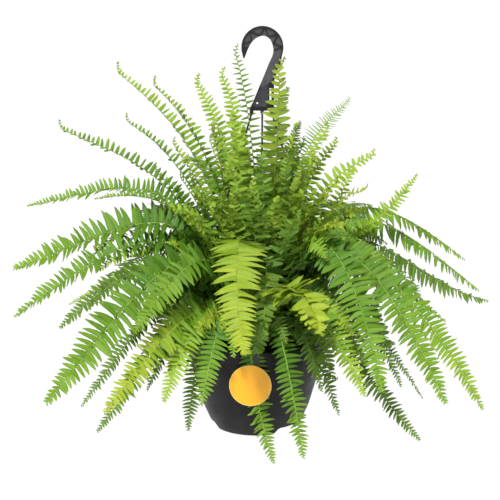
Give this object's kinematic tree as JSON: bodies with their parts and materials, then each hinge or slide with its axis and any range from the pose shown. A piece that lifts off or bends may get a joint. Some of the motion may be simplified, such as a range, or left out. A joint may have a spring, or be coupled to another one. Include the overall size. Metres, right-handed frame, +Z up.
{
  "type": "boston fern in hanging basket",
  "caption": "Bushy sword fern with arching cut fronds in a dark plastic hanging pot, on three rods under a flat moulded hook, with a blank round tag.",
  "frame": {"origin": "inner crown of the hook, where it rests on the peg or rod that holds the basket", "axes": "+Z up, the flat hook lies in the XZ plane, the pictured side with the round tag faces -Y"},
  "size_m": [0.6853, 0.5765, 0.6015],
  "materials": {
    "basket_plastic": "satin charcoal",
    "hanger_plastic": "satin dark grey",
    "tag_plastic": "smooth yellow-orange",
    "soil": "rough crumbly peat",
    "leaf_bright": "yellow-green young leaf",
    "leaf_fresh": "light green leaf",
    "leaf_mid": "mid green leaf",
    "leaf_dark": "dark green leaf"
  },
  "bodies": {
    "root": {"pot": "basket_plastic", "potting_soil": "soil", "round_tag": "tag_plastic", "hook": "hanger_plastic", "strand_left": "hanger_plastic", "strand_front": "hanger_plastic", "strand_right": "hanger_plastic", "frond_front_4": "leaf_bright", "frond_front_7": "leaf_bright", "frond_front_5": "leaf_mid", "frond_front_6": "leaf_mid", "frond_front_3": "leaf_mid", "frond_front_1": "leaf_fresh", "frond_front_2": "leaf_dark", "frond_front_8": "leaf_dark", "frond_left_7": "leaf_mid", "frond_left_2": "leaf_mid", "frond_left_1": "leaf_mid", "frond_left_3": "leaf_mid", "frond_left_9": "leaf_bright", "frond_left_4": "leaf_fresh", "frond_left_6": "leaf_dark", "frond_left_8": "leaf_dark", "frond_left_10": "leaf_dark", "frond_right_5": "leaf_mid", "frond_right_8": "leaf_mid", "frond_right_9": "leaf_fresh", "frond_right_3": "leaf_fresh", "frond_right_4": "leaf_dark", "frond_right_11": "leaf_dark", "frond_right_12": "leaf_mid", "frond_right_13": "leaf_mid", "frond_right_1": "leaf_fresh", "frond_right_2": "leaf_dark", "frond_right_6": "leaf_dark", "frond_right_10": "leaf_mid", "frond_top_8": "leaf_bright", "frond_top_7": "leaf_mid", "frond_top_1": "leaf_fresh", "frond_top_2": "leaf_fresh", "frond_top_3": "leaf_mid", "frond_top_4": "leaf_mid", "frond_top_5": "leaf_fresh", "frond_top_6": "leaf_fresh", "frond_top_9": "leaf_mid", "frond_top_10": "leaf_fresh", "frond_top_12": "leaf_fresh", "frond_top_14": "leaf_bright", "frond_inner_1": "leaf_fresh", "frond_inner_3": "leaf_mid", "frond_inner_4": "leaf_fresh", "frond_inner_6": "leaf_mid", "frond_inner_8": "leaf_fresh", "frond_back_1": "leaf_mid", "frond_back_3": "leaf_dark", "frond_back_4": "leaf_fresh", "frond_back_6": "leaf_mid", "frond_back_8": "leaf_mid", "frond_back_10": "leaf_dark", "frond_back_12": "leaf_mid"}
  },
  "joints": []
}
